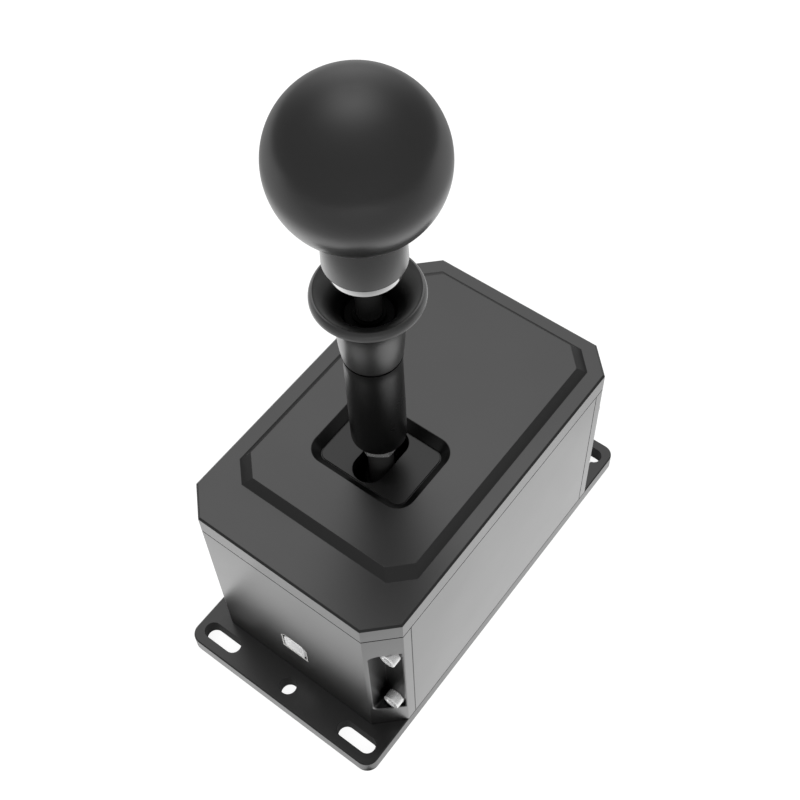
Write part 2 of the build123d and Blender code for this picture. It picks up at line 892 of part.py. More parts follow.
def centring_slider():
    """The block that the hub's tail pushes along the two rods."""
    slider = block(
        -slider_half_width, slider_half_width,
        lever_offset - slider_half_length, lever_offset + slider_half_length,
        slider_bottom, slider_top,
    )
    slider = fillet(slider.edges().filter_by(Axis.Z), slider_corner_radius)
    slot_x = roller_half_width + cheek_gap + cheek_thickness + slider_slot_gap
    slot_y = roller_radius + roller_play
    slider -= block(
        -slot_x, slot_x, lever_offset - slot_y, lever_offset + slot_y, slider_bottom, slider_top
    )
    for side in (-1, 1):
        x = side * rod_line
        slider -= rod(
            bush_radius + seat_fit,
            (x, lever_offset - slider_half_length, rod_height),
            (x, lever_offset + slider_half_length, rod_height),
        )
    return slider - magnet_rod(magnet_radius + seat_fit)


def on_rods(outer, inner, y0, y1):
    """A tube round each guide rod, from one Y place to another."""
    return [
        tube(outer, inner, (side * rod_line, y0, rod_height), (side * rod_line, y1, rod_height))
        for side in (-1, 1)
    ]


def slider_bushes():
    """The bushes that run on the rods."""
    y0 = lever_offset - slider_half_length
    y1 = lever_offset + slider_half_length
    return on_rods(bush_radius, rod_radius + running_gap, y0, y1)


def guide_rods():
    """The two rods between the end blocks."""
    end = seam_reach + rod_socket_depth
    return [
        rod(rod_radius, (side * rod_line, -end, rod_height), (side * rod_line, end, rod_height))
        for side in (-1, 1)
    ]


def centring_springs(end):
    """The pair of springs on one side of the slider, as the tubes that they fill."""
    near = lever_offset + end * slider_half_length
    far = near + end * centring_spring_length
    half_wire = centring_spring_wire / 2
    outer = centring_spring_radius + half_wire
    inner = centring_spring_radius - half_wire
    return on_rods(outer, inner, near, far)


def spring_collars():
    """The clamped rings that the springs push against."""
    rings = []
    for end in (-1, 1):
        near = lever_offset + end * (slider_half_length + centring_spring_length)
        far = near + end * spring_collar_width
        middle = (near + far) / 2
        for ring, side in zip(on_rods(spring_collar_radius, rod_radius + seat_fit, near, far), (-1, 1)):
            start = (side * rod_line, middle, rod_height)
            stop = (side * rod_line, middle, rod_height + spring_collar_radius)
            rings.append(ring - rod(collar_screw_radius + screw_fit, start, stop))
    return rings


def collar_set_screws():
    """The screws that clamp the rings to the rods."""
    screws = []
    for end in (-1, 1):
        reach = slider_half_length + centring_spring_length + spring_collar_width / 2
        for side in (-1, 1):
            tip = (side * rod_line, lever_offset + end * reach, rod_height + rod_radius + seat_fit)
            screws.append(
                set_screw(
                    tip, (0, 0, 1), collar_screw_radius, collar_screw_length,
                    collar_screw_key_width, collar_screw_key_depth,
                )
            )
    return screws


def stop_post(end):
    """The post that carries a rubber buffer."""
    near = lever_offset + end * post_near
    far = near + end * post_thickness
    top = rod_height + buffer_radius + post_top_margin
    post = block(-post_half_width, post_half_width, near, far, base_thickness, top)
    post = fillet(post.edges().filter_by(Axis.Y).group_by(Axis.Z)[-1], post_corner_radius)
    depth = post_screw_grip + tap_overrun
    for x, y in post_places:
        post -= rod(m4_radius + screw_fit, (x, y, base_thickness), (x, y, base_thickness + depth))
    return post


def stop_buffers():
    """The rubber buffers that end the lever's travel."""
    buffers = []
    for end in (-1, 1):
        face = (0, lever_offset + end * buffer_face, rod_height)
        back = (0, lever_offset + end * post_near, rod_height)
        buffer = rod(buffer_radius, face, back)
        edges = buffer.edges().filter_by(GeomType.CIRCLE).sort_by(Axis.Y)
        buffers.append(chamfer(edges[0 if end > 0 else -1], edge_break))
    return buffers


def slider_magnet():
    """The magnet under the slider."""
    return magnet_rod(magnet_radius)


def sensor_board():
    """The small board under the magnet."""
    x0 = -magnet_offset - sensor_board_width / 2
    y0 = lever_offset - sensor_board_length / 2
    board = block(
        x0, x0 + sensor_board_width, y0, y0 + sensor_board_length, sensor_board_bottom, sensor_board_top
    )
    for x, y in sensor_places:
        board -= rod(m3_radius + screw_clearance, (x, y, sensor_board_bottom), (x, y, sensor_board_top))
    return board


def sensor_chip():
    """The sensor that reads the magnet."""
    half = sensor_chip_size / 2
    x = -magnet_offset
    return block(
        x - half, x + half, lever_offset - half, lever_offset + half,
        sensor_board_top, sensor_board_top + sensor_chip_height,
    )


def sensor_spacers():
    """The rings that hold the sensor board off the base plate."""
    return [
        tube(
            sensor_spacer_radius, m3_radius + screw_clearance,
            (x, y, base_thickness), (x, y, sensor_board_bottom),
        )
        for x, y in sensor_places
    ]


def sensor_screws():
    """The screws of the sensor board."""
    grip = sensor_board_top - base_thickness + sensor_screw_grip
    return [
        cap_screw(
            (x, y, sensor_board_top), (0, 0, -1), m3_head_radius, sensor_screw_head_height, m3_radius,
            grip, m3_key_width, sensor_screw_key_depth,
        )
        for x, y in sensor_places
    ]


def sensor_ribbon():
    """The flat lead from the sensor board up into the main board's connector."""
    start = lever_offset + sensor_board_length / 2
    floor = sensor_board_bottom + ribbon_thickness / 2
    entry = connector_bottom + connector_height / 2
    run = connector_face - 2 * ribbon_bend_radius
    route = FilletPolyline(
        (start, floor), (run, floor), (run, entry), (connector_face, entry), radius=ribbon_bend_radius
    )
    line = Plane.YZ * route
    across = Plane(origin=(0, start, floor), x_dir=(1, 0, 0), z_dir=(0, 1, 0))
    section = across * Rectangle(ribbon_width, ribbon_thickness)
    return Pos(ribbon_line, 0, 0) * sweep(section, line)


def usb_shell():
    """The socket's metal shell, closed at the back."""
    mouth = half_length - usb_recess
    shell = usb_prism(0, board_plane, mouth)
    return shell - usb_prism(-usb_wall, board_plane + usb_back_wall, mouth)


def usb_tongue():
    """The contact block inside the socket."""
    y0 = board_plane + usb_back_wall
    x = tongue_width / 2
    z = tongue_height / 2
    return block(-x, x, y0, y0 + tongue_length, usb_centre - z, usb_centre + z)


def circuit_board():
    """The main board, upright behind the rear end block."""
    y0 = board_plane - board_thickness
    board = block(
        -board_width / 2, board_width / 2, y0, board_plane,
        board_bottom, board_bottom + board_height,
    )
    for x, z in board_places:
        board -= rod(m3_radius + screw_clearance, (x, y0, z), (x, board_plane, z))
    return board


def board_chip():
    """The controller on the main board."""
    y1 = board_plane - board_thickness
    half = chip_size / 2
    z = usb_centre
    return block(-half, half, y1 - chip_height, y1, z - half, z + half)


def board_connector():
    """The connector that takes the ribbon."""
    y1 = board_plane - board_thickness
    x0 = ribbon_line - connector_width / 2
    top = connector_bottom + connector_height
    return block(x0, x0 + connector_width, connector_face, y1, connector_bottom, top)


def board_spacers():
    """The rings that hold the main board off the end block."""
    return [
        tube(board_spacer_radius, m3_radius + screw_clearance, (x, board_plane, z), (x, seam_reach, z))
        for x, z in board_places
    ]


def board_screws():
    """The screws of the main board."""
    y = board_plane - board_thickness
    grip = seam_reach - y + board_screw_grip
    return [m3_screw((x, y, z), (0, 1, 0), grip) for x, z in board_places]


def collar_spring():
    """The spring that pushes the lift collar down, as the tube that it fills."""
    half_wire = collar_spring_wire / 2
    return column_tube(
        collar_spring_radius + half_wire, collar_spring_radius - half_wire, ledge_top, washer_bottom
    )


def spring_washer():
    """The washer above the collar's spring."""
    top = washer_bottom + washer_thickness
    return column_tube(washer_radius, stud_radius + seat_fit, washer_bottom, top)


def retaining_ring():
    """The ring that holds the washer down."""
    bottom = washer_bottom + washer_thickness
    bore = stud_radius + seat_fit
    return column_tube(bore + ring_wire, bore, bottom, bottom + ring_wire)


pieces = {
    "base_plate": base_plate(),
    "rear_end_block": rear_end_block(),
    "front_end_block": front_end_block(),
    "left_side_plate": side_plate(-1),
    "right_side_plate": side_plate(1),
    "top_cover": top_cover(),
    "gate_plate": gate_plate(),
    "end_screws": end_screws(),
    "tie_screws": tie_screws(),
    "side_screws": base_screws(side_places, side_screw_grip),
    "stop_screws": base_screws(post_places, post_screw_grip),
    "gate_screws": gate_screws(),
    "lever_hub": lever_hub(),
    "hub_set_screws": hub_set_screws(),
    "pivot_shaft": pivot_shaft(),
    "pivot_spacers": pivot_spacers(),
    "inner_races": inner_races(),
    "outer_races": outer_races(),
    "bearing_balls": bearing_balls(),
    "drive_roller": drive_roller(),
    "roller_pin": roller_pin(),
    "lever_shaft": lever_shaft(),
    "lock_nut": lock_nut(),
    "lever_sleeve": lever_sleeve(),
    "lift_collar": lift_collar(),
    "collar_bush": collar_bush(),
    "collar_spring": collar_spring(),
    "spring_washer": spring_washer(),
    "retaining_ring": retaining_ring(),
    "knob_ball": knob_ball(),
    "knob_neck": knob_neck(),
    "knob_ring": knob_ring(),
    "knob_insert": knob_insert(),
    "centring_slider": centring_slider(),
    "slider_bushes": slider_bushes(),
    "guide_rods": guide_rods(),
    "front_springs": centring_springs(-1),
    "rear_springs": centring_springs(1),
    "spring_collars": spring_collars(),
    "collar_set_screws": collar_set_screws(),
    "front_stop_post": stop_post(-1),
    "rear_stop_post": stop_post(1),
    "stop_buffers": stop_buffers(),
    "slider_magnet": slider_magnet(),
    "sensor_board": sensor_board(),
    "sensor_chip": sensor_chip(),
    "sensor_spacers": sensor_spacers(),
    "sensor_screws": sensor_screws(),
    "sensor_ribbon": sensor_ribbon(),
    "usb_shell": usb_shell(),
    "usb_tongue": usb_tongue(),
    "circuit_board": circuit_board(),
    "board_chip": board_chip(),
    "board_connector": board_connector(),
    "board_spacers": board_spacers(),
    "board_screws": board_screws(),
}

os.makedirs("parts", exist_ok=True)
for name, piece in pieces.items():
    solid = Compound(piece) if isinstance(piece, list) else piece
    export_step(solid, "parts/" + name + ".step")
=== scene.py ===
from math import asin, cos, degrees, radians, sin, sqrt

import bpy
from mathutils import Matrix, Vector


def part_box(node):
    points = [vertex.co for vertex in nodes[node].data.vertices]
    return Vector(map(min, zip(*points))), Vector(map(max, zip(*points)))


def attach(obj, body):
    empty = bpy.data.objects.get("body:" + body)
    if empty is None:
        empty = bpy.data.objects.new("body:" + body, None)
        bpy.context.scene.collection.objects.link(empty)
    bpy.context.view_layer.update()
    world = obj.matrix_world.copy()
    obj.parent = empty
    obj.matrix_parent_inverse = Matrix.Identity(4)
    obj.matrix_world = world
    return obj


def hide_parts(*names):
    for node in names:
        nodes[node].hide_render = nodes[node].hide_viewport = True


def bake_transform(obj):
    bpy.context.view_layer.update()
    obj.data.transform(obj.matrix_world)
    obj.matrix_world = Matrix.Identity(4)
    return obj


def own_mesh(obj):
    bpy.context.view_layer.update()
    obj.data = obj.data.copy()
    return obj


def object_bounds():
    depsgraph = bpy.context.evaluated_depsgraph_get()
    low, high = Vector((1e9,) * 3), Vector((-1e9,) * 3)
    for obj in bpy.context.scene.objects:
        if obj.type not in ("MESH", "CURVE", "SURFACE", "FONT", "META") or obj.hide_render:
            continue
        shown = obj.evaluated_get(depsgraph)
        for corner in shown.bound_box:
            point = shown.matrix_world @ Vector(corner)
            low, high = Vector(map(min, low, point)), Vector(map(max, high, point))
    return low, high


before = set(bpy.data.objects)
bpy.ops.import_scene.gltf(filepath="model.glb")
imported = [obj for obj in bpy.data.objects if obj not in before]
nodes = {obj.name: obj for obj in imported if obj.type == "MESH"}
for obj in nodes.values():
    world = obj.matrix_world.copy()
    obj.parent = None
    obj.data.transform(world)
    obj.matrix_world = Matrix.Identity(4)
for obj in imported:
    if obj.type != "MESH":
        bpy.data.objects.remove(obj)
cad_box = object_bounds()

MM = 0.001
# In millimetres: a turned piece's rings on its axis have this radius until points this near merge
ON_AXIS = 0.01
MERGE = 0.025

# In millimetres: from the cover's top down to its skirt, and how far the USB shell stands out
skirt_drop = 4.2
socket_proud = 0.35

# Places on the CAD nodes, in metres
wall_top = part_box("rear_end_block")[1].z
base_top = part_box("base_plate")[1].z
axis_y = (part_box("lift_collar")[0].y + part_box("lift_collar")[1].y) / 2
skirt_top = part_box("top_cover")[1].z - skirt_drop * MM
socket_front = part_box("usb_shell")[1].y + socket_proud * MM


# Selecting and shaping

def deselect():
    """Nothing is left selected, and no piece is in edit mode."""
    if bpy.context.object and bpy.context.object.mode == "EDIT":
        bpy.ops.object.mode_set(mode="OBJECT")
    bpy.ops.object.select_all(action="DESELECT")


def named(name):
    """The piece that was just added gets its name."""
    piece = bpy.context.object
    piece.name = name
    piece.data.name = name
    return piece


def work_on(piece):
    """Only this piece is selected and active."""
    deselect()
    bpy.context.view_layer.objects.active = piece
    piece.select_set(True)


def settle(piece):
    """The piece's place goes into its mesh, and its object to the origin."""
    work_on(piece)
    bpy.ops.object.transform_apply(location=True, rotation=True, scale=True)


def smooth(piece, angle=32):
    """Shades the piece smooth, apart from edges sharper than the angle."""
    work_on(piece)
    bpy.ops.object.shade_smooth_by_angle(angle=radians(angle))


def apply_modifier(piece, kind, **settings):
    """Adds a modifier and applies it to the mesh."""
    work_on(piece)
    modifier = piece.modifiers.new(kind.lower(), kind)
    for setting, value in settings.items():
        setattr(modifier, setting, value)
    bpy.ops.object.modifier_apply(modifier=modifier.name)


def cut(piece, shape):
    """A shape is cut out of the piece and then removed."""
    apply_modifier(piece, "BOOLEAN", operation="DIFFERENCE", solver="EXACT", object=shape)
    bpy.data.objects.remove(shape)


def pick(piece, kind, test):
    """In edit mode, only the faces or vertices that pass the test are selected."""
    bpy.ops.object.mode_set(mode="EDIT")
    bpy.ops.mesh.select_mode(type=kind)
    bpy.ops.mesh.select_all(action="DESELECT")
    bpy.ops.object.mode_set(mode="OBJECT")
    for element in piece.data.polygons if kind == "FACE" else piece.data.vertices:
        element.select = test(element)
    bpy.ops.object.mode_set(mode="EDIT")


def pick_open_edges():
    """In edit mode, only the edges with a face on one side are selected."""
    bpy.ops.mesh.select_mode(type="EDGE")
    bpy.ops.mesh.select_all(action="DESELECT")
    bpy.ops.mesh.select_non_manifold(
        use_wire=False, use_multi_face=False, use_non_contiguous=False, use_verts=False
    )


def extrude(x, y, z):
    """What is selected is extruded by a distance in millimetres."""
    bpy.ops.mesh.extrude_region_move(TRANSFORM_OT_translate={"value": (x * MM, y * MM, z * MM)})


def face_outwards():
    """All faces of the piece point outwards, and edit mode ends."""
    bpy.ops.mesh.select_all(action="SELECT")
    bpy.ops.mesh.normals_make_consistent(inside=False)
    bpy.ops.object.mode_set(mode="OBJECT")


def close_behind(x, y, z):
    """An open shell's rim is drawn back by a distance in millimetres and closed with a face."""
    pick_open_edges()
    extrude(x, y, z)
    bpy.ops.mesh.edge_face_add()
    face_outwards()


def rounded_plate(name, width, length, corner, segments, profile=0.5, picked=None, **place):
    """A flat plate with its corners rounded, left in edit mode with its face selected."""
    deselect()
    bpy.ops.mesh.primitive_plane_add(size=MM, **place)
    plate = named(name)
    plate.scale = (width, length, 1)
    settle(plate)
    pick(plate, "VERT", picked or (lambda vertex: True))
    bpy.ops.mesh.bevel(offset=corner * MM, segments=segments, affect="VERTICES", profile=profile)
    bpy.ops.mesh.select_mode(type="FACE")
    bpy.ops.mesh.select_all(action="SELECT")
    return plate


def curve(start, end, leaving, arriving, count):
    """Points of a smooth curve that leaves its start and arrives at its end in given directions,
    each with a strength."""
    chord = (Vector(end) - Vector(start)).length
    start_pull, end_pull = [Vector(direction).normalized() * chord * strength
                            for direction, strength in (leaving, arriving)]
    points = []
    for number in range(1, count + 1):
        t = number / count
        start_share = 2 * t ** 3 - 3 * t ** 2 + 1
        leaving_share = t ** 3 - 2 * t ** 2 + t
        end_share = -2 * t ** 3 + 3 * t ** 2
        arriving_share = t ** 3 - t ** 2
        points.append(tuple(
            start_share * a + leaving_share * b + end_share * c + arriving_share * d
            for a, b, c, d in zip(start, start_pull, end, end_pull)
        ))
    return points


def arc(centre, radius, start, end, count):
    """Points of an arc in radius and height, from one angle in degrees to another."""
    points = []
    for number in range(count + 1):
        angle = radians(start + (end - start) * number / count)
        points.append((centre[0] + radius * cos(angle), centre[1] + radius * sin(angle)))
    return points


def turned(name, rings, segments=144):
    """A closed turned piece about Z: a circle, drawn ring by ring through radius and height in
    millimetres, back to its start. Rings on the axis merge into a point."""
    deselect()
    radius, height = rings[0]
    bpy.ops.mesh.primitive_circle_add(
        vertices=segments, radius=radius * MM, location=(0, 0, height * MM), fill_type="NOTHING"
    )
    piece = named(name)
    bpy.ops.object.mode_set(mode="EDIT")
    bpy.ops.mesh.select_all(action="SELECT")
    for ring in rings[1:] + rings[:1]:
        extrude(0, 0, ring[1] - height)
        share = ring[0] / radius
        bpy.ops.transform.resize(value=(share, share, 1), center_override=(0, 0, ring[1] * MM))
        radius, height = ring
    bpy.ops.mesh.select_all(action="SELECT")
    bpy.ops.mesh.remove_doubles(threshold=MERGE * MM)
    bpy.ops.mesh.delete_loose(use_verts=True, use_edges=True, use_faces=False)
    face_outwards()
    settle(piece)
    return piece


def stand_at(piece, place, towards=(0, 0, 1)):
    """A piece made about Z is turned towards a direction and set at a place in millimetres."""
    piece.rotation_mode = "QUATERNION"
    piece.rotation_quaternion = Vector(towards).to_track_quat("Z", "Y")
    piece.location = Vector(place) * MM
    settle(piece)


def corners(node):
    """A node's lowest and highest corners, in millimetres."""
    low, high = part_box(node)
    return low / MM, high / MM


def radius_of(node):
    """The radius of a round upright node, in millimetres."""
    low, high = corners(node)
    return (high.x - low.x) / 2


def place_piece(piece, slot, body, *stands_for, finish=None):
    """The piece gets its slot's finish or its own, rides on a body and stands for CAD nodes."""
    piece.data.materials.clear()
    piece.data.materials.append(finish or finishes[slot])
    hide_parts(*stands_for)
    if body:
        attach(piece, body)


# Sums and patterns in a node tree

def feed(tree, socket, value):
    """A socket is set to a number or linked to another node's value."""
    if isinstance(value, (int, float)):
        socket.default_value = value
    else:
        tree.links.new(value, socket)


def calculate(tree, operation, *values):
    """One sum on numbers or on other nodes' values."""
    node = tree.nodes.new("ShaderNodeMath")
    node.operation = operation
    for socket, value in zip(node.inputs, values):
        feed(tree, socket, value)
    return node.outputs["Value"]


def ranged(tree, value, start, end, low, high, ease=False):
    """A value that goes from start to end turned into one that goes from low to high."""
    node = tree.nodes.new("ShaderNodeMapRange")
    if ease:
        node.interpolation_type = "SMOOTHSTEP"
    sockets = ("Value", "From Min", "From Max", "To Min", "To Max")
    for socket, given in zip(sockets, (value, start, end, low, high)):
        feed(tree, node.inputs[socket], given)
    return node.outputs["Result"]


def along_direction(tree, where, direction):
    """How far a point or a ray goes along a direction."""
    node = tree.nodes.new("ShaderNodeVectorMath")
    node.operation = "DOT_PRODUCT"
    node.inputs[1].default_value = direction
    tree.links.new(where, node.inputs[0])
    return node.outputs["Value"]


def split(tree, where):
    """A point's X, Y and Z."""
    parts = tree.nodes.new("ShaderNodeSeparateXYZ")
    tree.links.new(where, parts.inputs["Vector"])
    return parts.outputs["X"], parts.outputs["Y"], parts.outputs["Z"]


# Materials

class Finish:
    """A node material: its shader and the nodes that vary it."""

    def __init__(self, name, colour, roughness, metallic=0.0, ior=1.5):
        self.material = bpy.data.materials.new(name)
        self.material.use_nodes = True
        self.tree = self.material.node_tree
        self.shader = self.tree.nodes["Principled BSDF"]
        self.shader.inputs["Base Color"].default_value = (*colour, 1)
        self.shader.inputs["Roughness"].default_value = roughness
        self.shader.inputs["Metallic"].default_value = metallic
        self.shader.inputs["IOR"].default_value = ior
        self.colour = colour
        self.roughness = roughness

    def place(self, stretch=(1, 1, 1)):
        """The piece's own coordinates, stretched."""
        where = self.tree.nodes.new("ShaderNodeTexCoord")
        mapping = self.tree.nodes.new("ShaderNodeMapping")
        mapping.inputs["Scale"].default_value = stretch
        self.tree.links.new(where.outputs["Object"], mapping.inputs["Vector"])
        return mapping.outputs["Vector"]

    def noise(self, size_mm, detail, stretch=(1, 1, 1)):
        """A cloudy pattern with features of about that size."""
        noise = self.tree.nodes.new("ShaderNodeTexNoise")
        noise.inputs["Scale"].default_value = 1 / (size_mm * MM)
        noise.inputs["Detail"].default_value = detail
        self.tree.links.new(self.place(stretch), noise.inputs["Vector"])
        return noise.outputs["Fac"]

    def spread(self, pattern, low, high):
        """The middle range of a cloudy pattern turned into a range of numbers."""
        middle_low = 0.3
        middle_high = 0.7
        return ranged(self.tree, pattern, middle_low, middle_high, low, high)

    def vary_colour(self, pattern, amount):
        """The base colour varies up and down by a share."""
        mix = self.tree.nodes.new("ShaderNodeMix")
        mix.data_type = "RGBA"
        mix.inputs["A"].default_value = (*(c * (1 - amount) for c in self.colour), 1)
        mix.inputs["B"].default_value = (*(c * (1 + amount) for c in self.colour), 1)
        self.tree.links.new(self.spread(pattern, 0, 1), mix.inputs["Factor"])
        self.tree.links.new(mix.outputs["Result"], self.shader.inputs["Base Color"])

    def vary_roughness(self, pattern, amount):
        """The roughness varies up and down by an amount."""
        spread = self.spread(pattern, self.roughness - amount, self.roughness + amount)
        self.tree.links.new(spread, self.shader.inputs["Roughness"])

    def relief(self, pattern, height_mm, strength, edge_mm=0.0):
        """A pattern that also stands up from the surface, whose edges are eased by a radius."""
        bump = self.tree.nodes.new("ShaderNodeBump")
        if edge_mm:
            edge = self.tree.nodes.new("ShaderNodeBevel")
            edge.samples = 6
            edge.inputs["Radius"].default_value = edge_mm * MM
            self.tree.links.new(edge.outputs["Normal"], bump.inputs["Normal"])
        bump.inputs["Distance"].default_value = height_mm * MM
        bump.inputs["Strength"].default_value = strength
        self.tree.links.new(pattern, bump.inputs["Height"])
        self.tree.links.new(bump.outputs["Normal"], self.shader.inputs["Normal"])

    def sum(self, operation, *values):
        """One sum on numbers or on other nodes' values."""
        return calculate(self.tree, operation, *values)

    def from_middle(self):
        """How far a point lies from the middle planes, along X and Y, and its height."""
        x, y, z = split(self.tree, self.place())
        return self.sum("ABSOLUTE", x), self.sum("ABSOLUTE", y), z

    def shade(self, share):
        """The base colour is multiplied by a share that a pattern gives."""
        socket = self.shader.inputs["Base Color"]
        mix = self.tree.nodes.new("ShaderNodeMix")
        mix.data_type = "RGBA"
        mix.blend_type = "MULTIPLY"
        mix.inputs["Factor"].default_value = 1
        self.tree.links.new(socket.links[0].from_socket, mix.inputs["A"])
        self.tree.links.new(share, mix.inputs["B"])
        self.tree.links.new(mix.outputs["Result"], socket)

    def joint_line(self, value, place):
        """A dark line where two pieces meet, at a height or at a distance from the middle."""
        half_width = 0.3 * MM
        soft_share = 0.75
        dark_share = 0.02
        apart = self.sum("ABSOLUTE", self.sum("SUBTRACT", value, place))
        self.shade(ranged(self.tree, apart, half_width * soft_share, half_width, dark_share, 1.0))

    def paint_pocket_shade(self, across, along, share):
        """Painted shade darkens the walls inside the end blocks, such as the screw pockets, below the
        skin.
        """
        skin = 0.3 * MM
        corner_cut = 10 * MM
        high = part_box("rear_end_block")[1]
        inner_x = self.sum("LESS_THAN", across, high.x - skin)
        inner_y = self.sum("LESS_THAN", along, high.y - skin)
        reach = high.x + high.y - corner_cut - 2 * skin
        inner_corner = self.sum("LESS_THAN", self.sum("ADD", across, along), reach)
        inside = self.sum("MULTIPLY", self.sum("MULTIPLY", inner_x, inner_y), inner_corner)
        self.shade(self.sum("SUBTRACT", 1.0, self.sum("MULTIPLY", inside, 1 - share)))


def grey(value):
    """A colour without hue."""
    return (value, value, value)


def blasted(name, tone, roughness, edge_mm=0.3):
    """Blasted and anodised aluminium: dark metal with a fine even grain and eased edges."""
    finish = Finish(name, grey(tone), roughness, metallic=1.0)
    finish.vary_colour(finish.noise(size_mm=60, detail=2), amount=0.025)
    finish.vary_roughness(finish.noise(size_mm=25, detail=2), amount=0.01)
    finish.relief(finish.noise(size_mm=0.3, detail=2), height_mm=0.0012, strength=0.5, edge_mm=edge_mm)
    return finish


def anodised(name, tone, roughness, **edge):
    """Blasted and anodised aluminium with nothing to mark its joints."""
    return blasted(name, tone, roughness, **edge).material


def case_metal(name, tone, roughness, pocket_shade_share):
    """The case's walls, with dark lines where they meet and painted shade in the screw pockets."""
    finish = blasted(name, tone, roughness)
    across, along, height = finish.from_middle()
    finish.joint_line(height, wall_top)
    finish.joint_line(height, base_top)
    finish.joint_line(along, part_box("rear_end_block")[0].y)
    # painted shade in the screw pockets
    finish.paint_pocket_shade(across, along, pocket_shade_share)
    return finish.material


def cover_metal(name, tone, roughness, skirt_painted_light_gain):
    """The cover: painted light makes its skirt paler than its top; a dark line where it meets the walls.
    """
    finish = blasted(name, tone, roughness)
    height = finish.from_middle()[2]
    finish.joint_line(height, wall_top)
    # painted light: below the top the cover's colour is raised by this share
    skirt = finish.sum("LESS_THAN", height, skirt_top)
    finish.shade(finish.sum("MULTIPLY_ADD", skirt, skirt_painted_light_gain, 1.0))
    return finish.material


def polished(name, colour, roughness, metallic=1.0):
    """Bright turned or plated metal with faint handling marks."""
    finish = Finish(name, colour, roughness, metallic=metallic)
    finish.vary_colour(finish.noise(size_mm=6, detail=4), amount=0.04)
    finish.vary_roughness(finish.noise(size_mm=2, detail=4), amount=roughness * 0.2)
    grain = finish.noise(size_mm=0.3, detail=2, stretch=(1, 1, 5))
    finish.relief(grain, height_mm=0.0006, strength=0.5)
    return finish.material


def turned_lacquer(name, tone, roughness, ior, stretch):
    """Black lacquer over turned metal, whose highlights stretch along the turning marks."""
    finish = Finish(name, grey(tone), roughness, ior=ior)
    finish.vary_colour(finish.noise(size_mm=15, detail=3), amount=0.06)
    finish.vary_roughness(finish.noise(size_mm=5, detail=3), amount=0.012)
    finish.relief(finish.noise(size_mm=0.25, detail=2), height_mm=0.001, strength=0.4)
    marks = finish.tree.nodes.new("ShaderNodeTangent")
    marks.direction_type = "RADIAL"
    marks.axis = "Z"
    finish.tree.links.new(marks.outputs["Tangent"], finish.shader.inputs["Tangent"])
    finish.shader.inputs["Anisotropic"].default_value = stretch
    return finish.material


def socket_metal(name, colour, roughness):
    """The USB shell: bright at its mouth, with painted shade that darkens it inside."""
    bright_depth = 0.1 * MM
    painted_shade_depth = 0.35 * MM
    dark_share = 0.02
    finish = Finish(name, colour, roughness, metallic=0.4)
    finish.vary_colour(finish.noise(size_mm=3, detail=3), amount=0.03)
    finish.vary_roughness(finish.noise(size_mm=1.6, detail=5), amount=0.05)
    along = finish.from_middle()[1]
    # painted shade: the shell darkens from just behind its mouth inwards
    mouth = ranged(
        finish.tree, along, socket_front - painted_shade_depth, socket_front - bright_depth, dark_share, 1.0
    )
    finish.shade(mouth)
    return finish.material


def moulded(name, colour, roughness):
    """Moulded plastic with a fine spark-eroded texture."""
    finish = Finish(name, colour, roughness)
    finish.vary_colour(finish.noise(size_mm=8, detail=3), amount=0.07)
    finish.vary_roughness(finish.noise(size_mm=1.2, detail=4), amount=0.05)
    finish.relief(finish.noise(size_mm=0.18, detail=3), height_mm=0.006, strength=0.7)
    return finish.material


finishes = {
    # the housing's screw pockets get painted shade at this share of its colour
    "housing_black": case_metal("anodised housing", 0.27, 0.3, pocket_shade_share=0.11),
    "base_black": anodised("anodised base plate", 0.13, 0.3),
    "cover_black": cover_metal("blasted cover", 0.18, 0.33, skirt_painted_light_gain=0.6),
    "gate_black": anodised("gate plate black", 0.12, 0.32),
    "screw_steel": polished("bright screws", grey(0.97), 0.26, metallic=0.55),
    "bright_steel": polished("ground steel", grey(0.55), 0.2),
    "chrome_trim": polished("chromed trim", grey(0.85), 0.08),
    "lever_black": anodised("lever gloss black", 0.12, 0.28, edge_mm=0.0),
    "neck_satin": anodised("satin neck", 0.19, 0.26, edge_mm=0.0),
    "knob_black": turned_lacquer("satin knob", 0.012, 0.29, ior=2.1, stretch=0.5),
    "brass_fit": polished("turned brass", (0.78, 0.53, 0.22), 0.28),
    "bronze_bush": polished("sintered bronze", (0.55, 0.34, 0.17), 0.42),
    "hub_alloy": polished("milled alloy", grey(0.62), 0.3),
    "bearing_steel": polished("bearing steel", grey(0.66), 0.15),
    "slider_plastic": moulded("slider acetal", grey(0.03), 0.42),
    "spring_steel": polished("spring wire", grey(0.45), 0.28),
    "buffer_rubber": moulded("buffer rubber", grey(0.02), 0.75),
    "magnet_nickel": polished("nickelled magnet", (0.66, 0.62, 0.56), 0.2),
    "board_green": moulded("board green", (0.02, 0.12, 0.045), 0.3),
    "chip_black": moulded("chip black", grey(0.02), 0.5),
    "connector_white": moulded("connector nylon", (0.75, 0.73, 0.66), 0.45),
    "ribbon_grey": moulded("ribbon grey", grey(0.32), 0.5),
    "usb_nickel": socket_metal("nickelled shell", (0.93, 0.92, 0.9), 0.25),
    "usb_plastic": moulded("socket plastic", grey(0.85), 0.35),
}
# CAD nodes whose own finish differs from the rest of their slot
own_finishes = {
    "lock_nut": polished("zinc nut", grey(0.6), 0.22, metallic=0.78),
    "spring_washer": anodised("blackened washer", 0.012, 0.6),
    "retaining_ring": anodised("blackened ring", 0.012, 0.6),
    "collar_bush": anodised("shaded bush", 0.015, 0.6),
    "lever_hub": anodised("black hub", 0.03, 0.4),
    "lever_shaft": polished("black shaft", grey(0.05), 0.35, metallic=0.5),
}

for node_name, node in nodes.items():
    for slot in node.material_slots:
        slot.material = own_finishes.get(node_name, finishes[slot.material.name.split(".")[0]])


# The lever above the cover

shoulder_step = 0.6
bore_fit = 0.05
bore = radius_of("lever_shaft") - shoulder_step + bore_fit
tube_swell = 0.15
tube_radius = radius_of("lever_sleeve") + tube_swell


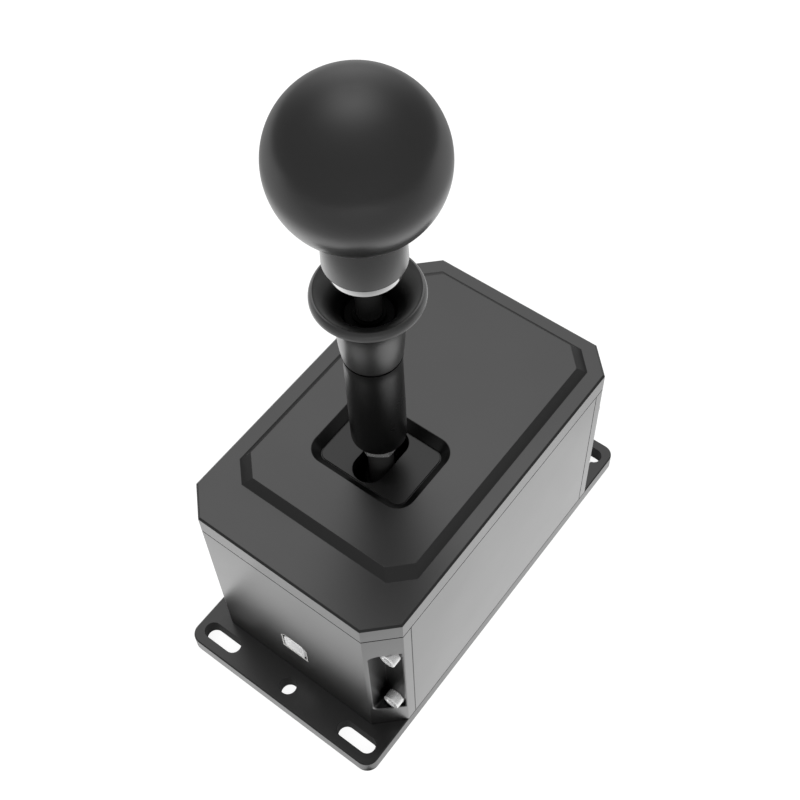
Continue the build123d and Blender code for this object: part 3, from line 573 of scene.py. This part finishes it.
def lever_piece(name, rings, slot, body, node, segments=144, finish=None):
    """A turned piece on the lever's axis, which stands for its CAD node."""
    piece = turned(name, rings, segments)
    stand_at(piece, (0, axis_y / MM, 0))
    smooth(piece)
    place_piece(piece, slot, body, node, finish=finish)


def knob():
    """The ball, flat where it sits on its neck, with a pocket for its threaded bush."""
    low, high = corners("knob_ball")
    radius = radius_of("knob_ball")
    centre = high.z - radius
    foot_angle = -degrees(asin((centre - low.z) / radius))
    pole_angle = 89.9
    pocket = radius_of("knob_insert") + bore_fit
    pocket_top = corners("knob_insert")[1].z
    rings = [(pocket, low.z)]
    rings += arc((0, centre), radius, start=foot_angle, end=pole_angle, count=64)
    rings += [(ON_AXIS, high.z), (ON_AXIS, pocket_top), (pocket, pocket_top)]
    lever_piece("turned_knob", rings, "knob_black", "lever", "knob_ball", segments=160)


def neck():
    """The satin neck under the ball, rounded at its foot."""
    low, high = corners("knob_neck")
    radius = radius_of("knob_neck")
    top_radius = 12.1
    foot_edge = 0.8
    top_edge = 0.25
    rings = [(bore, low.z)]
    rings += arc((radius - foot_edge, low.z + foot_edge), foot_edge, start=-90, end=0, count=6)
    rings += arc((top_radius - top_edge, high.z - top_edge), top_edge, start=0, end=90, count=3)
    rings += [(bore, high.z)]
    lever_piece("satin_neck", rings, "neck_satin", "lever", "knob_neck")


def bright_ring():
    """The plated ring under the neck, rounded at its foot and stepped in at its top."""
    low, high = corners("knob_ring")
    radius = radius_of("knob_ring")
    edge = 1.0
    step = 0.2
    step_foot = high.z - 0.4
    step_top = high.z - 0.25
    rings = [(bore, low.z)]
    rings += arc((radius - edge, low.z + edge), edge, start=-90, end=0, count=8)
    rings += [(radius, step_foot), (radius - step, step_top), (radius - step, high.z)]
    rings += [(bore, high.z)]
    lever_piece("plated_ring", rings, "chrome_trim", "lever", "knob_ring")


def flared_collar():
    """The lift collar: a flare up to a drawn-in rim, and a deep bowl inside."""
    low, high = corners("lift_collar")
    rim = radius_of("lift_collar")
    bush = radius_of("collar_bush")
    ledge = corners("collar_bush")[1].z
    foot_edge = 0.35
    foot_round = 0.1
    rim_height = 3.2
    rim_edge = 0.12
    bowl_depth = 16.4
    washer_gap = 0.4
    rim_foot = high.z - rim_height
    groove = rim - 0.6
    groove_foot = rim_foot - 0.35
    groove_top = rim_foot - 0.05
    flare_start = (tube_radius, low.z + foot_edge)
    flare_end = (groove, groove_foot)
    rim_turn = (rim, rim_foot + 0.5)
    lip_outside = (rim - 0.9, high.z - 0.15)
    lip_outer = lip_outside[0] - 0.08
    lip_inner = lip_outside[0] - 0.5
    bowl_start = (lip_outside[0] - 0.6, high.z - 0.12)
    bowl_end = (radius_of("spring_washer") + washer_gap, high.z - bowl_depth)
    rings = [(bush, low.z), (tube_radius - foot_edge, low.z)]
    rings += [(tube_radius - foot_round / 2, low.z + foot_round), flare_start]
    rings += curve(flare_start, flare_end, leaving=((0.15, 1), 1.5), arriving=((1, 0.75), 1.1), count=30)
    rings += [(groove, groove_top), (rim - rim_edge, rim_foot), (rim, rim_foot + rim_edge), rim_turn]
    rings += curve(rim_turn, lip_outside, leaving=((0, 1), 1), arriving=((-0.8, 1), 0.9), count=8)
    rings += [(lip_outer, high.z), (lip_inner, high.z), bowl_start]
    rings += curve(bowl_start, bowl_end, leaving=((-1, -0.55), 1.0), arriving=((0, -1), 1.3), count=30)
    rings += [(bowl_end[0], ledge), (bush, ledge)]
    finish = anodised("collar black", 0.25, 0.32, edge_mm=0.0)
    lever_piece("flared_collar", rings, "lever_black", "collar", "lift_collar", finish=finish)


def sleeve():
    """The tube from the nut up to the collar, with a slight waist and a shadow gap at its top."""
    low, high = corners("lever_sleeve")
    radius = radius_of("lever_sleeve")
    edge = 0.6
    straight_heights = (5, 10, 16)
    waist_depth = 0.3
    waist_drop = 5.5
    gap = 0.5
    gap_depth = 0.6
    gap_edge = 0.05
    gap_radius = tube_radius - gap_depth
    shoulder = (radius, low.z + straight_heights[-1])
    waist = (tube_radius - waist_depth, high.z - waist_drop)
    top = (tube_radius, high.z - gap)
    rings = [(bore, low.z)]
    rings += arc((radius - edge, low.z + edge), edge, start=-90, end=0, count=6)
    rings += [(radius, low.z + height) for height in straight_heights]
    rings += curve(shoulder, waist, leaving=((0, 1), 1), arriving=((0, 1), 0.7), count=14)
    rings += curve(waist, top, leaving=((0, 1), 1), arriving=((0.15, 1), 1), count=8)
    rings += [(gap_radius, top[1] + gap_edge), (gap_radius, high.z), (bore, high.z)]
    lever_piece("lever_tube", rings, "lever_black", "lever", "lever_sleeve")


knob()
neck()
bright_ring()
flared_collar()
sleeve()


# Dish around the lever's slot

def slot_shape(radius, reach, height):
    """A tall slot-shaped block along Y on the lever's axis, which cuts the lever's slot."""
    tall = 12
    deselect()
    bpy.ops.mesh.primitive_cylinder_add(
        vertices=62, radius=radius * MM, depth=tall * MM, location=(0, axis_y, height * MM)
    )
    shape = named("slot_shape")
    settle(shape)
    for end in (-1, 1):
        pick(shape, "VERT", lambda vertex: (vertex.co.y - axis_y) * end > 0)
        bpy.ops.transform.translate(value=(0, end * (reach - radius) * MM, 0))
        bpy.ops.object.mode_set(mode="OBJECT")
    return shape


def gate_dish():
    """The dish on the gate plate: sloped walls down from the platform, a groove and a slotted floor."""
    width = 43.0
    length = 32.6
    corner = 6.8
    wall_run = 3.1
    wall_drop = 3.4
    groove = 0.45
    slot_side_gap = 1.4
    slot_end_gap = 0.8
    lever_swing = 7.0
    sunk = 0.02
    top = corners("top_cover")[1].z - sunk
    foot = corners("gate_plate")[1].z
    shaft = radius_of("lever_shaft")
    place = (0, axis_y, top * MM)
    dish = rounded_plate("gate_dish", width, length, corner, segments=10, location=place)
    bpy.ops.mesh.inset(thickness=wall_run * MM)
    bpy.ops.transform.translate(value=(0, 0, -wall_drop * MM))
    extrude(0, 0, -groove)
    bpy.ops.mesh.inset(thickness=groove * MM)
    extrude(0, 0, groove)
    close_behind(0, 0, foot - top)
    slot_reach = lever_swing + slot_end_gap + shaft
    cut(dish, slot_shape(shaft + slot_side_gap, slot_reach, foot))
    smooth(dish)
    place_piece(dish, "gate_black", "housing", finish=anodised("dish black", 0.1, 0.32))


gate_dish()


# Screws in the corner pockets

def end_screw(head, height):
    """A socket-head screw about Z, its head upwards from the seat at the origin."""
    shank = 2.0
    reach = 16.0
    tip = 0.4
    foot_edge = 0.15
    groove_depth = 0.12
    groove_heights = (0.55, 0.62, 0.74, 0.8)
    rounding = 0.45
    key_radius = 3.0 / sqrt(3)
    key_mouth = 2.05
    key_sink = 0.25
    key_bottom = 1.9
    key_height = 3.0
    rings = [(ON_AXIS, -reach), (shank - tip, -reach), (shank, tip - reach), (shank, 0)]
    rings += [(head - foot_edge, 0), (head, foot_edge)]
    for groove_height, depth in zip(groove_heights, (0, groove_depth, groove_depth, 0)):
        rings.append((head - depth, groove_height))
    rings += arc((head - rounding, height - rounding), rounding, start=0, end=90, count=5)
    rings += [(key_mouth, height), (key_radius, height - key_sink), (ON_AXIS, height - key_sink)]
    screw = turned("end_screw", rings, segments=72)
    deselect()
    bpy.ops.mesh.primitive_cylinder_add(
        vertices=6, radius=key_radius * MM, depth=key_height * MM,
        location=(0, 0, (key_bottom + key_height / 2) * MM),
    )
    cut(screw, named("key_shape"))
    return screw


def end_screws():
    """The eight screws, two in each pocket."""
    low, high = corners("end_screws")
    head = 3.5
    height = 4.0
    head_room = 0.25
    height_room = 0.1
    model = end_screw(head - head_room, height - height_room)
    count = 0
    for x in (low.x + head, high.x - head):
        for end in (-1, 1):
            for z in (low.z + head, high.z - head):
                count += 1
                screw = model.copy()
                screw.data = model.data.copy()
                bpy.context.scene.collection.objects.link(screw)
                screw.name = f"end_screw_{count}"
                screw.data.name = screw.name
                stand_at(screw, (x, end * (high.y - height), z), (0, end, 0))
                smooth(screw)
                place_piece(screw, "screw_steel", "housing", "end_screws")
    bpy.data.objects.remove(model)


end_screws()


# Springs

def coil_spring(name, radius, wire, length, turns):
    """A wound wire about Z, from the origin up, with closed ends."""
    wire_sides = 14
    turn_steps = 32
    deselect()
    bpy.ops.mesh.primitive_circle_add(
        vertices=wire_sides, radius=wire / 2 * MM, location=(radius * MM, 0, wire / 2 * MM),
        rotation=(radians(90), 0, 0), fill_type="NOTHING",
    )
    spring = named(name)
    settle(spring)
    apply_modifier(
        spring, "SCREW", axis="Z", angle=radians(360), screw_offset=(length - wire) / turns * MM,
        iterations=turns, steps=turn_steps, render_steps=turn_steps, use_merge_vertices=False,
        use_smooth_shade=True,
    )
    work_on(spring)
    bpy.ops.object.mode_set(mode="EDIT")
    pick_open_edges()
    bpy.ops.mesh.edge_face_add()
    bpy.ops.mesh.select_all(action="SELECT")
    bpy.ops.mesh.remove_doubles(threshold=1e-6)
    face_outwards()
    return spring


def centring_springs():
    """The springs on the guide rods, which take up the slider's travel."""
    wire = 1.5
    turns = 8
    for node, direction in (("front_springs", -1), ("rear_springs", 1)):
        low, high = corners(node)
        near = high.y if direction < 0 else low.y
        far = low.y if direction < 0 else high.y
        height = (low.z + high.z) / 2
        outer = (high.z - low.z) / 2
        for side, word in ((-1, "left"), (1, "right")):
            name = node[:-1] + "_" + word
            spring = coil_spring(name, outer - wire / 2, wire, abs(far - near), turns)
            stand_at(spring, (side * (high.x - outer), near, height), (0, direction, 0))
            smooth(spring, angle=60)
            place_piece(spring, "spring_steel", None, node)
            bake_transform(spring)


def collar_spring():
    """The spring inside the collar, squeezed against its washer when the collar is lifted."""
    low, high = corners("collar_spring")
    wire = 1.2
    turns = 5
    coil = radius_of("collar_spring") - wire / 2
    spring = coil_spring("lift_spring", coil, wire, high.z - low.z, turns)
    stand_at(spring, (0, axis_y / MM, low.z))
    smooth(spring, angle=60)
    place_piece(spring, "spring_steel", "lever", "collar_spring")
    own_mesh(spring)


centring_springs()
collar_spring()


# USB socket in the rear end

def socket_cup(name, width, height, corner, wall, front, depth, cup_depth, centre_z):
    """An open box that faces +Y, with its two upper corners cut, in millimetres."""
    easing = 0.12
    cup = rounded_plate(
        name, width, height, corner, segments=4, profile=0.35,
        picked=lambda vertex: vertex.co.z > centre_z * MM,
        location=(0, front * MM, centre_z * MM), rotation=(radians(-90), 0, 0),
    )
    bpy.ops.mesh.inset(thickness=wall * MM)
    extrude(0, -cup_depth, 0)
    close_behind(0, -depth, 0)
    apply_modifier(
        cup, "BEVEL", width=easing * MM, segments=2, limit_method="ANGLE", angle_limit=radians(50)
    )
    return cup


def usb_socket():
    """The nickelled shell, its white insert with the opening for the plug, and the tongue."""
    low, high = corners("usb_shell")
    width = high.x - low.x
    height = high.z - low.z
    front = socket_front / MM
    centre_z = (low.z + high.z) / 2
    back_wall = 1.0
    shell_wall = 0.6
    depth = front - low.y
    shell = socket_cup(
        "socket_shell", width, height, corner=2.2, wall=shell_wall,
        front=front, depth=depth, cup_depth=depth - back_wall, centre_z=centre_z,
    )
    smooth(shell)
    place_piece(shell, "usb_nickel", "housing", "usb_shell")

    side_gap = shell_wall + 0.9
    end_gap = shell_wall + 0.45
    insert_wall = 1.0
    cup_depth = 7.6
    setback = 0.15
    drop = 0.2
    aside = 0.45
    insert = socket_cup(
        "socket_insert", width - 2 * side_gap, height - 2 * end_gap, corner=2.6, wall=insert_wall,
        front=front - setback, depth=depth - setback - back_wall, cup_depth=cup_depth,
        centre_z=centre_z - drop,
    )
    insert.location.x = aside * MM
    settle(insert)
    smooth(insert)
    place_piece(insert, "usb_plastic", "housing", "usb_tongue")

    low, high = corners("usb_tongue")
    tongue_setback = 1.2
    tip_edge = 0.35
    tip_length = 0.4
    deselect()
    place = (0, (high.y - tongue_setback) * MM, centre_z * MM)
    bpy.ops.mesh.primitive_cube_add(size=MM, location=place)
    tongue = named("socket_tongue")
    tongue.scale = (high.x - low.x, cup_depth, high.z - low.z)
    settle(tongue)
    pick(tongue, "FACE", lambda face: face.normal.y > 0.9)
    bpy.ops.mesh.inset(thickness=tip_edge * MM)
    extrude(0, tip_length, 0)
    bpy.ops.object.mode_set(mode="OBJECT")
    apply_modifier(tongue, "BEVEL", width=0.1 * MM, segments=2)
    smooth(tongue)
    place_piece(tongue, "usb_plastic", "housing", "usb_tongue")


usb_socket()


# Studio

def light_seen(tree, ray_kinds=("Is Camera Ray", "Is Glossy Ray", "Is Transmission Ray")):
    """One for rays of the listed kinds, otherwise zero."""
    path = tree.nodes.new("ShaderNodeLightPath")
    total = path.outputs[ray_kinds[0]]
    for kind in ray_kinds[1:]:
        total = calculate(tree, "MAXIMUM", total, path.outputs[kind])
    return total


def floor_glow(tree):
    """The floor's white: even where it is seen, and in metal a painted shadow under the object and a
    painted falloff that dims it further away."""
    seen_white = 0.9
    near_white = 1.0
    near_reach = 0.1
    far_reach = 0.27
    far_before = 0.03
    far_behind = 0.32
    before = -0.3
    behind = 0.1
    away = (0.64, -0.77, 0)
    middle = (0.06, -0.04, 0)
    painted_shadow_share = 0.06
    high = cad_box[1]
    where = tree.nodes.new("ShaderNodeTexCoord").outputs["Object"]
    x, y, _ = split(tree, where)
    beside_x = calculate(tree, "GREATER_THAN", calculate(tree, "ABSOLUTE", x), high[0])
    beside_y = calculate(tree, "GREATER_THAN", calculate(tree, "ABSOLUTE", y), high[1])
    open_floor = calculate(tree, "MAXIMUM", beside_x, beside_y)
    apart = tree.nodes.new("ShaderNodeVectorMath")
    apart.operation = "DISTANCE"
    apart.inputs[1].default_value = middle
    tree.links.new(where, apart.inputs[0])
    side = along_direction(tree, where, away)
    far_white = ranged(tree, side, before, behind, far_before, far_behind)
    distance = apart.outputs["Value"]
    painted_falloff = ranged(tree, distance, near_reach, far_reach, near_white, far_white, ease=True)
    # in metal only: the painted falloff, and a painted shadow under the object
    mirrored = calculate(tree, "MULTIPLY", painted_falloff, calculate(tree, "MAXIMUM", open_floor, painted_shadow_share))
    glossy = tree.nodes.new("ShaderNodeLightPath").outputs["Is Glossy Ray"]
    in_metal = calculate(tree, "MULTIPLY", mirrored, glossy)
    in_sight = calculate(tree, "MULTIPLY", calculate(tree, "SUBTRACT", 1.0, glossy), seen_white)
    return calculate(tree, "ADD", in_metal, in_sight)


def floor():
    """A pale floor: white where it is seen or mirrored, with a soft shadow under the object."""
    pale = 0.8
    mirrored_pale = 0.2
    seen_gain = 0.05
    deselect()
    bpy.ops.mesh.primitive_plane_add(size=2.4, location=(0, 0, 0))
    sheet = named("studio_floor")
    material = bpy.data.materials.new("studio floor")
    material.use_nodes = True
    material.cycles.emission_sampling = "NONE"
    tree = material.node_tree
    tree.nodes.clear()
    glow = tree.nodes.new("ShaderNodeEmission")
    tree.links.new(floor_glow(tree), glow.inputs["Strength"])
    shadowed = tree.nodes.new("ShaderNodeBsdfDiffuse")
    seen_only = tree.nodes.new("ShaderNodeLightPath").outputs["Is Camera Ray"]
    tone = calculate(tree, "MULTIPLY_ADD", seen_only, seen_gain, mirrored_pale)
    tree.links.new(tone, shadowed.inputs["Color"])
    white = tree.nodes.new("ShaderNodeAddShader")
    tree.links.new(glow.outputs["Emission"], white.inputs[0])
    tree.links.new(shadowed.outputs["BSDF"], white.inputs[1])
    unseen = tree.nodes.new("ShaderNodeBsdfDiffuse")
    unseen.inputs["Color"].default_value = (*grey(pale), 1)
    mix = tree.nodes.new("ShaderNodeMixShader")
    tree.links.new(light_seen(tree), mix.inputs["Fac"])
    tree.links.new(unseen.outputs["BSDF"], mix.inputs[1])
    tree.links.new(white.outputs["Shader"], mix.inputs[2])
    output = tree.nodes.new("ShaderNodeOutputMaterial")
    tree.links.new(mix.outputs["Shader"], output.inputs["Surface"])
    sheet.data.materials.append(material)


def sky():
    """The studio: white where it is seen, otherwise dim with two wide soft lights."""
    dim = 0.14
    lights = (((0.25, -0.3, 0.92), 9, 0.6), ((0.61, -0.73, 0.2), 8, 0.45))
    world = bpy.data.worlds.new("studio")
    bpy.context.scene.world = world
    world.use_nodes = True
    tree = world.node_tree
    tree.nodes.clear()
    where = tree.nodes.new("ShaderNodeTexCoord").outputs["Generated"]
    value = dim
    for direction, narrowness, strength in lights:
        nearness = along_direction(tree, where, Vector(direction).normalized())
        lobe = calculate(tree, "POWER", calculate(tree, "MAXIMUM", nearness, 0.0), narrowness)
        value = calculate(tree, "ADD", value, calculate(tree, "MULTIPLY", lobe, strength))
    overhead = tree.nodes.new("ShaderNodeBackground")
    tree.links.new(value, overhead.inputs["Strength"])
    white = tree.nodes.new("ShaderNodeBackground")
    white.inputs["Strength"].default_value = 1.0
    for shade in (overhead, white):
        shade.inputs["Color"].default_value = (*grey(1.0), 1)
    mix = tree.nodes.new("ShaderNodeMixShader")
    tree.links.new(light_seen(tree, ("Is Camera Ray", "Is Transmission Ray")), mix.inputs["Fac"])
    tree.links.new(overhead.outputs["Background"], mix.inputs[1])
    tree.links.new(white.outputs["Background"], mix.inputs[2])
    output = tree.nodes.new("ShaderNodeOutputWorld")
    tree.links.new(mix.outputs["Shader"], output.inputs["Surface"])


def soft_box(name, place, aim, width, height, power):
    """A soft lamp that points at a place, without its image in metal."""
    light = bpy.data.lights.new(name, "AREA")
    light.shape = "RECTANGLE"
    light.size = width
    light.size_y = height
    light.energy = power
    lamp = bpy.data.objects.new(name, light)
    bpy.context.scene.collection.objects.link(lamp)
    lamp.location = place
    lamp.rotation_mode = "QUATERNION"
    lamp.rotation_quaternion = (Vector(aim) - Vector(place)).to_track_quat("-Z", "Y")
    lamp.visible_glossy = False


def camera():
    """The camera at the photograph's angle."""
    place = (-0.15602, 0.18912, 0.47559)
    forward = Vector((0.35672, -0.42797, -0.83042)).normalized()
    upright = Vector((0.48945, -0.67152, 0.55633))
    data = bpy.data.cameras.new("camera")
    data.lens = 57.74
    data.sensor_width = 36.0
    data.clip_start = 0.01
    data.clip_end = 50
    holder = bpy.data.objects.new("camera", data)
    bpy.context.scene.collection.objects.link(holder)
    right = forward.cross(upright).normalized()
    turn = Matrix((right, right.cross(forward), -forward)).transposed()
    holder.matrix_world = Matrix.Translation(place) @ turn.to_4x4()
    bpy.context.scene.camera = holder


bpy.context.scene.view_settings.view_transform = "Standard"
floor()
sky()
camera()
soft_box("ceiling_light", place=(0, 0, 1.6), aim=(0, 0, 0.1), width=2.6, height=2.6, power=24)
soft_box("front_light", place=(-0.9, 1.1, 0.5), aim=(0, 0, 0.05), width=1.6, height=1.0, power=14)
